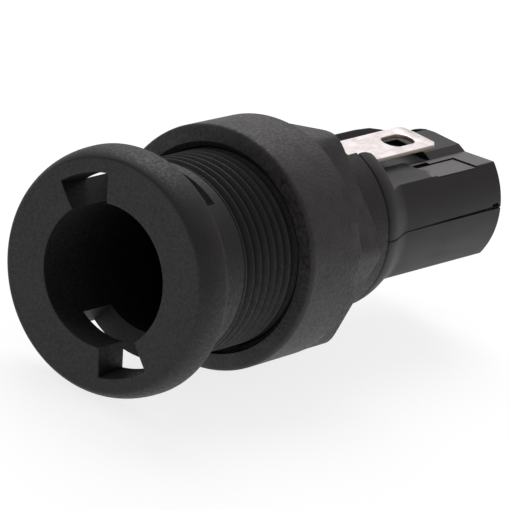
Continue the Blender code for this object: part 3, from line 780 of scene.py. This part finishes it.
outline = [(-STRIP_HALF, STRIP_FRONT), (STRIP_HALF, STRIP_FRONT), (STRIP_HALF, NECK_Y), (LUG_HALF, NECK_Y)]
outline += [(LUG_HALF, LUG_END - 0.6 * MM), (LUG_HALF - 0.45 * MM, LUG_END)]
outline += corner_round(-LUG_HALF + 0.9 * MM, LUG_END - 0.9 * MM, 0.9 * MM, 90)
outline += [(-LUG_HALF, NECK_Y), (-STRIP_HALF, NECK_Y)]
rivet_hole = oblong(0, RIVET_Y, RIVET_HOLE_R, 2 * RIVET_HOLE_R)
holes = [oblong(0, LUG_HOLE_Y, LUG_HOLE_HALF, LUG_HOLE_L), rivet_hole]
bends = [JOGGLE_Y[0] + (JOGGLE_Y[1] - JOGGLE_Y[0]) * k / 10 for k in range(11)]
side_terminal = stamped_strip(
    "side_solder_lug", outline, holes, SHEET, terminal_top, bends, [tinned_brass, cut_brass]
)
finish_piece(side_terminal, "holder", "tinned_brass", "side_terminal", sharp=50)

# ---- Side contact leaf -------------------------------------------------------------
# A strip of phosphor bronze under the terminal's tail. It bows down into the bore and
# wipes on the carrier's sleeve, which presses it up.

leaf_low, leaf_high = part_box("side_contact_leaf")
LEAF_FRONT, LEAF_REAR = leaf_low.y, leaf_high.y
LEAF_HALF = leaf_high.x
LEAF_FLAT = leaf_high.z
LEAF_T = 0.22 * MM
LEAF_DIP = LEAF_FLAT - LEAF_T - leaf_low.z
LEAF_DIP_Y = 13.8 * MM
LEAF_ROOT_Y = 19.6 * MM


def leaf_top(y):
    """Height of the leaf's upper face: flat under the rivet, then a dip and a lead-in."""
    if y >= LEAF_ROOT_Y:
        return LEAF_FLAT
    if y >= LEAF_DIP_Y:
        share = (LEAF_ROOT_Y - y) / (LEAF_ROOT_Y - LEAF_DIP_Y)
        return LEAF_FLAT - LEAF_DIP * math.sin(share * math.pi / 2) ** 1.5
    share = (LEAF_DIP_Y - y) / (LEAF_DIP_Y - LEAF_FRONT)
    return LEAF_FLAT - LEAF_DIP + 0.55 * LEAF_DIP * share**2


# Rolled phosphor bronze: pinkish gold, fine rolling lines along the strip, and a
# browner oxide in clouds.
bronze, shader = start_material("rolled_phosphor_bronze", {"Metallic": 1.0})
place = add_node(bronze, "ShaderNodeTexCoord").outputs["Object"]
along = add_node(bronze, "ShaderNodeMapping", {"Scale": (1, 0.08, 1)}, {"Vector": place})
rolled = add_node(
    bronze, "ShaderNodeTexNoise", {"Scale": 1 / (0.08 * MM), "Detail": 3.0},
    {"Vector": along.outputs["Vector"]},
)
oxide = add_node(
    bronze, "ShaderNodeTexNoise", {"Scale": 1 / (1.5 * MM), "Detail": 3.0}, {"Vector": place}
)
tone = add_node(bronze, "ShaderNodeValToRGB", links={"Fac": oxide.outputs["Fac"]})
tone.color_ramp.elements[0].position = 0.35
tone.color_ramp.elements[0].color = linear("#a86f48")
tone.color_ramp.elements[1].position = 0.6
tone.color_ramp.elements[1].color = linear("#dba476")
satin = add_node(
    bronze, "ShaderNodeMapRange",
    {"From Min": 0.3, "From Max": 0.7, "To Min": 0.22, "To Max": 0.38}, {"Value": rolled.outputs["Fac"]},
)
bronze.node_tree.links.new(tone.outputs["Color"], shader.inputs["Base Color"])
bronze.node_tree.links.new(satin.outputs["Result"], shader.inputs["Roughness"])

outline = [(LEAF_HALF, LEAF_REAR), (-LEAF_HALF, LEAF_REAR)]
outline += corner_round(-LEAF_HALF + 0.6 * MM, LEAF_FRONT + 0.6 * MM, 0.6 * MM, 180)
outline += corner_round(LEAF_HALF - 0.6 * MM, LEAF_FRONT + 0.6 * MM, 0.6 * MM, 270)
bends = [LEAF_FRONT + (LEAF_ROOT_Y - LEAF_FRONT) * k / 28 for k in range(1, 29)]
leaf = stamped_strip(
    "bronze_contact_leaf", outline, [rivet_hole], LEAF_T, leaf_top, bends, [bronze]
)
finish_piece(leaf, "contact_leaf", "spring_bronze", "side_contact_leaf", sharp=50)

# ---- Rivet -------------------------------------------------------------------------
# A brass rivet through the leaf and the terminal's tail. Its heads are set domes.

rivet_low, rivet_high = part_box("side_contact_rivet")
RIVET_R = 0.45 * MM
HEAD_R = rivet_high.x
HEAD_T = 0.25 * MM

# Brass wire, cold set: yellow, and faintly dented where the tool struck it.
rivet_brass, shader = start_material("set_brass", {"Metallic": 1.0, "Roughness": 0.3})
place = add_node(rivet_brass, "ShaderNodeTexCoord").outputs["Object"]
dents = add_node(
    rivet_brass, "ShaderNodeTexNoise", {"Scale": 1 / (0.25 * MM), "Detail": 2.0}, {"Vector": place}
)
tone = add_node(rivet_brass, "ShaderNodeValToRGB", links={"Fac": dents.outputs["Fac"]})
tone.color_ramp.elements[0].color = linear("#b08d4a")
tone.color_ramp.elements[1].color = linear("#e6cf96")
hammered = add_node(
    rivet_brass, "ShaderNodeBump",
    {"Strength": 0.4, "Distance": 0.02 * MM}, {"Height": dents.outputs["Fac"]},
)
rivet_brass.node_tree.links.new(tone.outputs["Color"], shader.inputs["Base Color"])
rivet_brass.node_tree.links.new(hammered.outputs["Normal"], shader.inputs["Normal"])

bm = bmesh.new()
under, over = rivet_low.z + HEAD_T, rivet_high.z - HEAD_T
dome = [(math.cos(t) * HEAD_R, math.sin(t) * HEAD_T) for t in [math.pi / 2 * k / 6 for k in range(6)]]
profile = [(r, under - z) for r, z in reversed(dome)] + [(RIVET_R, under), (RIVET_R, over)]
profile += [(r, over + z) for r, z in dome]
levels = [ring(bm, radius, height, 32) for radius, height in profile]
join_rings(bm, levels, closed=False)
bm.faces.new(levels[0])
bm.faces.new(levels[-1])
stood_up = Matrix.Translation((0, RIVET_Y, 0)) @ Matrix.Rotation(math.radians(90), 4, "X")
bmesh.ops.transform(bm, matrix=stood_up, verts=bm.verts)
rivet = add_piece("set_rivet", bm, [rivet_brass])
finish_piece(rivet, "holder", "rivet_brass", "side_contact_rivet")

# ---- End terminal ------------------------------------------------------------------
# The same tinned strip: a round plate that the spring stands on, and a blade that goes
# out through the end wall and steps up to its solder eye.

BLADE_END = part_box("end_terminal")[1].y
PLATE_R = 3.5 * MM
PLATE_BACK = 40.7 * MM
PLATE_EDGE = 0.05 * MM
BLADE_TOP = SEAM_Z + SHEET / 2
BLADE_STEP = 0.35 * MM
BLADE_STEP_Y = (HOUSING_END + 0.4 * MM, HOUSING_END + 1.1 * MM)
BLADE_HALF = 1.93 * MM
BLADE_HOLE_Y = 46.1 * MM


def blade_top(y):
    """Height of the blade's upper face, with the step outside the end wall."""
    return BLADE_TOP + BLADE_STEP * eased((y - BLADE_STEP_Y[0]) / (BLADE_STEP_Y[1] - BLADE_STEP_Y[0]))


bm = bmesh.new()
plate_face = PLATE_BACK - SHEET
middle_r = 0.3 * MM
profile = [(middle_r, plate_face), (PLATE_R - PLATE_EDGE, plate_face), (PLATE_R, plate_face + PLATE_EDGE)]
profile += [(PLATE_R, PLATE_BACK - PLATE_EDGE), (PLATE_R - PLATE_EDGE, PLATE_BACK), (middle_r, PLATE_BACK)]
levels = [ring(bm, radius, y, 72) for radius, y in profile]
join_rings(bm, levels, closed=False)
bm.faces.new(levels[0])
bm.faces.new(levels[-1])
end_terminal = add_piece("end_solder_lug", bm, [tinned_brass, cut_brass])
inner, tip_r = 2.85 * MM, 0.7 * MM
near_side, far_edge = BLADE_X + BLADE_HALF, BLADE_X - BLADE_HALF
outline = [(near_side, BLADE_END - 0.8 * MM)]
outline += corner_round(near_side - tip_r, BLADE_END - tip_r, tip_r, 0)[1:]
outline += corner_round(far_edge + tip_r, BLADE_END - tip_r, tip_r, 90)
outline += [(far_edge, END_WALL + 0.3 * MM), (-inner, END_WALL - 0.1 * MM)]
outline += [(-inner, PLATE_BACK - SHEET / 2), (near_side, PLATE_BACK - SHEET / 2)]
bends = [BLADE_STEP_Y[0] + (BLADE_STEP_Y[1] - BLADE_STEP_Y[0]) * k / 8 for k in range(9)]
blade_hole = oblong(BLADE_X, BLADE_HOLE_Y, 0.8 * LUG_HOLE_HALF, 0.8 * LUG_HOLE_L)
blade = stamped_strip("blade", outline, [blade_hole], SHEET, blade_top, bends, [tinned_brass, cut_brass])
combine(end_terminal, blade, "UNION")
finish_piece(end_terminal, "holder", "tinned_brass", "end_terminal", sharp=50)

# ---- End contact cup ---------------------------------------------------------------
# Turned brass, nickel-plated, which takes the fuse's rear cap. The tool's fine rings
# stay under the plating.

cup_low, cup_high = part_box("end_contact_cup")
CUP_FRONT, CUP_BACK = cup_low.y, cup_high.y
CUP_R = cup_high.x
POCKET_R = 3.25 * MM
POCKET_L = 2.2 * MM

# Dull nickel over turned brass: warm grey, and it mirrors softly along the rings. The
# rings are drawn 0.6 mm apart, far coarser than a tool leaves them.
nickel, shader = start_material("nickel_plate", {"Metallic": 1.0})
place = add_node(nickel, "ShaderNodeTexCoord").outputs["Object"]
turned_rings = add_node(
    nickel, "ShaderNodeTexWave", {"Scale": 1 / (0.6 * MM), "Distortion": 0.4, "Detail": 1.0},
    {"Vector": place}, wave_type="RINGS", rings_direction="Y",
)
spots = add_node(nickel, "ShaderNodeTexNoise", {"Scale": 1 / (0.8 * MM), "Detail": 3.0}, {"Vector": place})
tone = add_node(nickel, "ShaderNodeValToRGB", links={"Fac": spots.outputs["Fac"]})
tone.color_ramp.elements[0].color = linear("#aaa59a")
tone.color_ramp.elements[1].color = linear("#d5d1c8")
polish = add_node(
    nickel, "ShaderNodeMapRange", {"To Min": 0.16, "To Max": 0.3}, {"Value": turned_rings.outputs["Fac"]}
)
relief = add_node(
    nickel, "ShaderNodeBump",
    {"Strength": 0.2, "Distance": 0.005 * MM}, {"Height": turned_rings.outputs["Fac"]},
)
nickel.node_tree.links.new(tone.outputs["Color"], shader.inputs["Base Color"])
nickel.node_tree.links.new(polish.outputs["Result"], shader.inputs["Roughness"])
nickel.node_tree.links.new(relief.outputs["Normal"], shader.inputs["Normal"])

bm = bmesh.new()
floor_y = CUP_FRONT + POCKET_L
pip_r, lead_in, rim, rear = 0.02 * MM, 0.2 * MM, 0.05 * MM, 0.25 * MM
rear_mid = 0.08 * MM
profile = [(pip_r, floor_y + 0.15 * MM), (0.8 * MM, floor_y), (POCKET_R - lead_in, floor_y)]
profile += [(POCKET_R, floor_y - lead_in), (POCKET_R, CUP_FRONT + lead_in)]
profile += [(POCKET_R + 0.17 * MM, CUP_FRONT), (CUP_R - rim, CUP_FRONT), (CUP_R, CUP_FRONT + rim)]
profile += [(CUP_R, CUP_BACK - rear), (CUP_R - rear_mid, CUP_BACK - rear_mid)]
profile += [(CUP_R - rear, CUP_BACK), (pip_r, CUP_BACK)]
levels = [ring(bm, radius, y, 96) for radius, y in profile]
join_rings(bm, levels, closed=False)
bm.faces.new(levels[0])
bm.faces.new(levels[-1])
cup = add_piece("nickel_cup", bm, [nickel])
finish_piece(cup, "end_contact", "plated_brass", "end_contact_cup", sharp=35)

# ---- End contact spring ------------------------------------------------------------
# Drawn spring steel wire, coiled with closed ends. It pushes the cup on to the fuse and
# flattens as the cup goes back.

spring_low, spring_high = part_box("end_contact_spring")
WIRE_R = 0.25 * MM
COIL_R = 2.6 * MM
COIL_TURNS = 4.5
PER_TURN = 40
END_CLOSING = 0.045

# Hard-drawn wire: grey, with a film of oil that clouds its shine.
spring_steel, shader = start_material("drawn_spring_steel", {"Metallic": 1.0})
place = add_node(spring_steel, "ShaderNodeTexCoord").outputs["Object"]
drawn = add_node(
    spring_steel, "ShaderNodeTexNoise", {"Scale": 1 / (0.15 * MM), "Detail": 3.0}, {"Vector": place}
)
tone = add_node(spring_steel, "ShaderNodeValToRGB", links={"Fac": drawn.outputs["Fac"]})
tone.color_ramp.elements[0].color = linear("#77777a")
tone.color_ramp.elements[1].color = linear("#b4b4b6")
oiled = add_node(
    spring_steel, "ShaderNodeMapRange", {"To Min": 0.2, "To Max": 0.42}, {"Value": drawn.outputs["Fac"]}
)
spring_steel.node_tree.links.new(tone.outputs["Color"], shader.inputs["Base Color"])
spring_steel.node_tree.links.new(oiled.outputs["Result"], shader.inputs["Roughness"])

bm = bmesh.new()
wire_sides = 14
coil_start, coil_end = spring_low.y + WIRE_R, spring_high.y - WIRE_R
count = round(COIL_TURNS * PER_TURN)
loops = []
for k in range(count + 1):
    share = k / count
    along_axis = coil_start + (coil_end - coil_start) * (share - END_CLOSING * math.sin(4 * math.pi * share))
    turn = 2 * math.pi * k / PER_TURN
    loops.append([
        bm.verts.new(round_point(
            COIL_R + WIRE_R * math.cos(2 * math.pi * j / wire_sides), turn,
            along_axis + WIRE_R * math.sin(2 * math.pi * j / wire_sides),
        ))
        for j in range(wire_sides)
    ])
join_rings(bm, loops, closed=False)
bm.faces.new(loops[0])
bm.faces.new(loops[-1])
spring = add_piece("coil_spring", bm, [spring_steel])
finish_piece(spring, "holder", "spring_steel", "end_contact_spring")
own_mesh(spring)

# ---- Floor, light and camera -------------------------------------------------------
# A white sweep that glows a little, so the shadow on it stays faint; an even dim room with
# one softbox overhead and a broad panel behind; and a long lens at the flange's side.

FLOOR_DROP = 0.05 * MM
FLOOR_HALF = 4.0

bm = bmesh.new()
bmesh.ops.create_grid(bm, x_segments=1, y_segments=1, size=FLOOR_HALF)
bmesh.ops.translate(bm, verts=bm.verts, vec=(0, 0, -FLANGE_R - FLOOR_DROP))

# Matt white paper, faintly clouded, that glows a little
paper, shader = start_material(
    "white_paper_sweep",
    {"Roughness": 0.9, "Emission Color": linear("#ffffff"), "Emission Strength": 0.8},
)
place = add_node(paper, "ShaderNodeTexCoord").outputs["Object"]
fibre = add_node(paper, "ShaderNodeTexNoise", {"Scale": 1 / (40 * MM), "Detail": 2.0}, {"Vector": place})
tone = add_node(paper, "ShaderNodeValToRGB", links={"Fac": fibre.outputs["Fac"]})
tone.color_ramp.elements[0].color = linear("#848484")
tone.color_ramp.elements[1].color = linear("#8a8a8a")
paper.node_tree.links.new(tone.outputs["Color"], shader.inputs["Base Color"])
sweep = add_piece("paper_sweep", bm, [paper])

world = bpy.data.worlds.new("white_room")
world.use_nodes = True
world.node_tree.nodes["Background"].inputs["Color"].default_value = linear("#fff8f9")
world.node_tree.nodes["Background"].inputs["Strength"].default_value = 0.42
bpy.context.scene.world = world

centre = (cad_box[0] + cad_box[1]) / 2


def softbox(name, place, size, power):
    """A square area light that faces the holder's middle."""
    light = bpy.data.lights.new(name, "AREA")
    light.size = size
    light.energy = power
    lamp = bpy.data.objects.new(name, light)
    lamp.location = place
    lamp.rotation_euler = (Vector(centre) - Vector(place)).to_track_quat("-Z", "Y").to_euler()
    bpy.context.scene.collection.objects.link(lamp)


softbox("overhead_softbox", (-0.2, 0.2, 0.4), size=0.35, power=1.35)
softbox("back_panel", (-0.32, 0.52, 0.23), size=0.45, power=0.22)

AZIMUTH = math.radians(35.82)
ELEVATION = math.radians(10.90)
ROLL = math.radians(17)
DISTANCE = 0.6665
LENS = 600.7
AIM_RIGHT = 11.93 * MM
AIM_UP = 1.625 * MM
level = math.cos(ELEVATION)
forward = Vector((-math.sin(AZIMUTH) * level, math.cos(AZIMUTH) * level, -math.sin(ELEVATION)))
right = Vector((math.cos(AZIMUTH), math.sin(AZIMUTH), 0))
tilt = Matrix.Rotation(-ROLL, 3, "Y")
forward, right = tilt @ forward, tilt @ right
up = right.cross(forward)
aim = Vector((0, FACE_Y, 0)) + AIM_RIGHT * right + AIM_UP * up
lens = bpy.data.cameras.new("long_lens")
lens.lens = LENS
lens.clip_start = 0.05
camera = bpy.data.objects.new("camera", lens)
axes = Matrix((right, up, -forward)).transposed().to_4x4()
camera.matrix_world = Matrix.Translation(aim - DISTANCE * forward) @ axes
bpy.context.scene.collection.objects.link(camera)
bpy.context.scene.camera = camera
bpy.context.scene.view_settings.view_transform = "Standard"
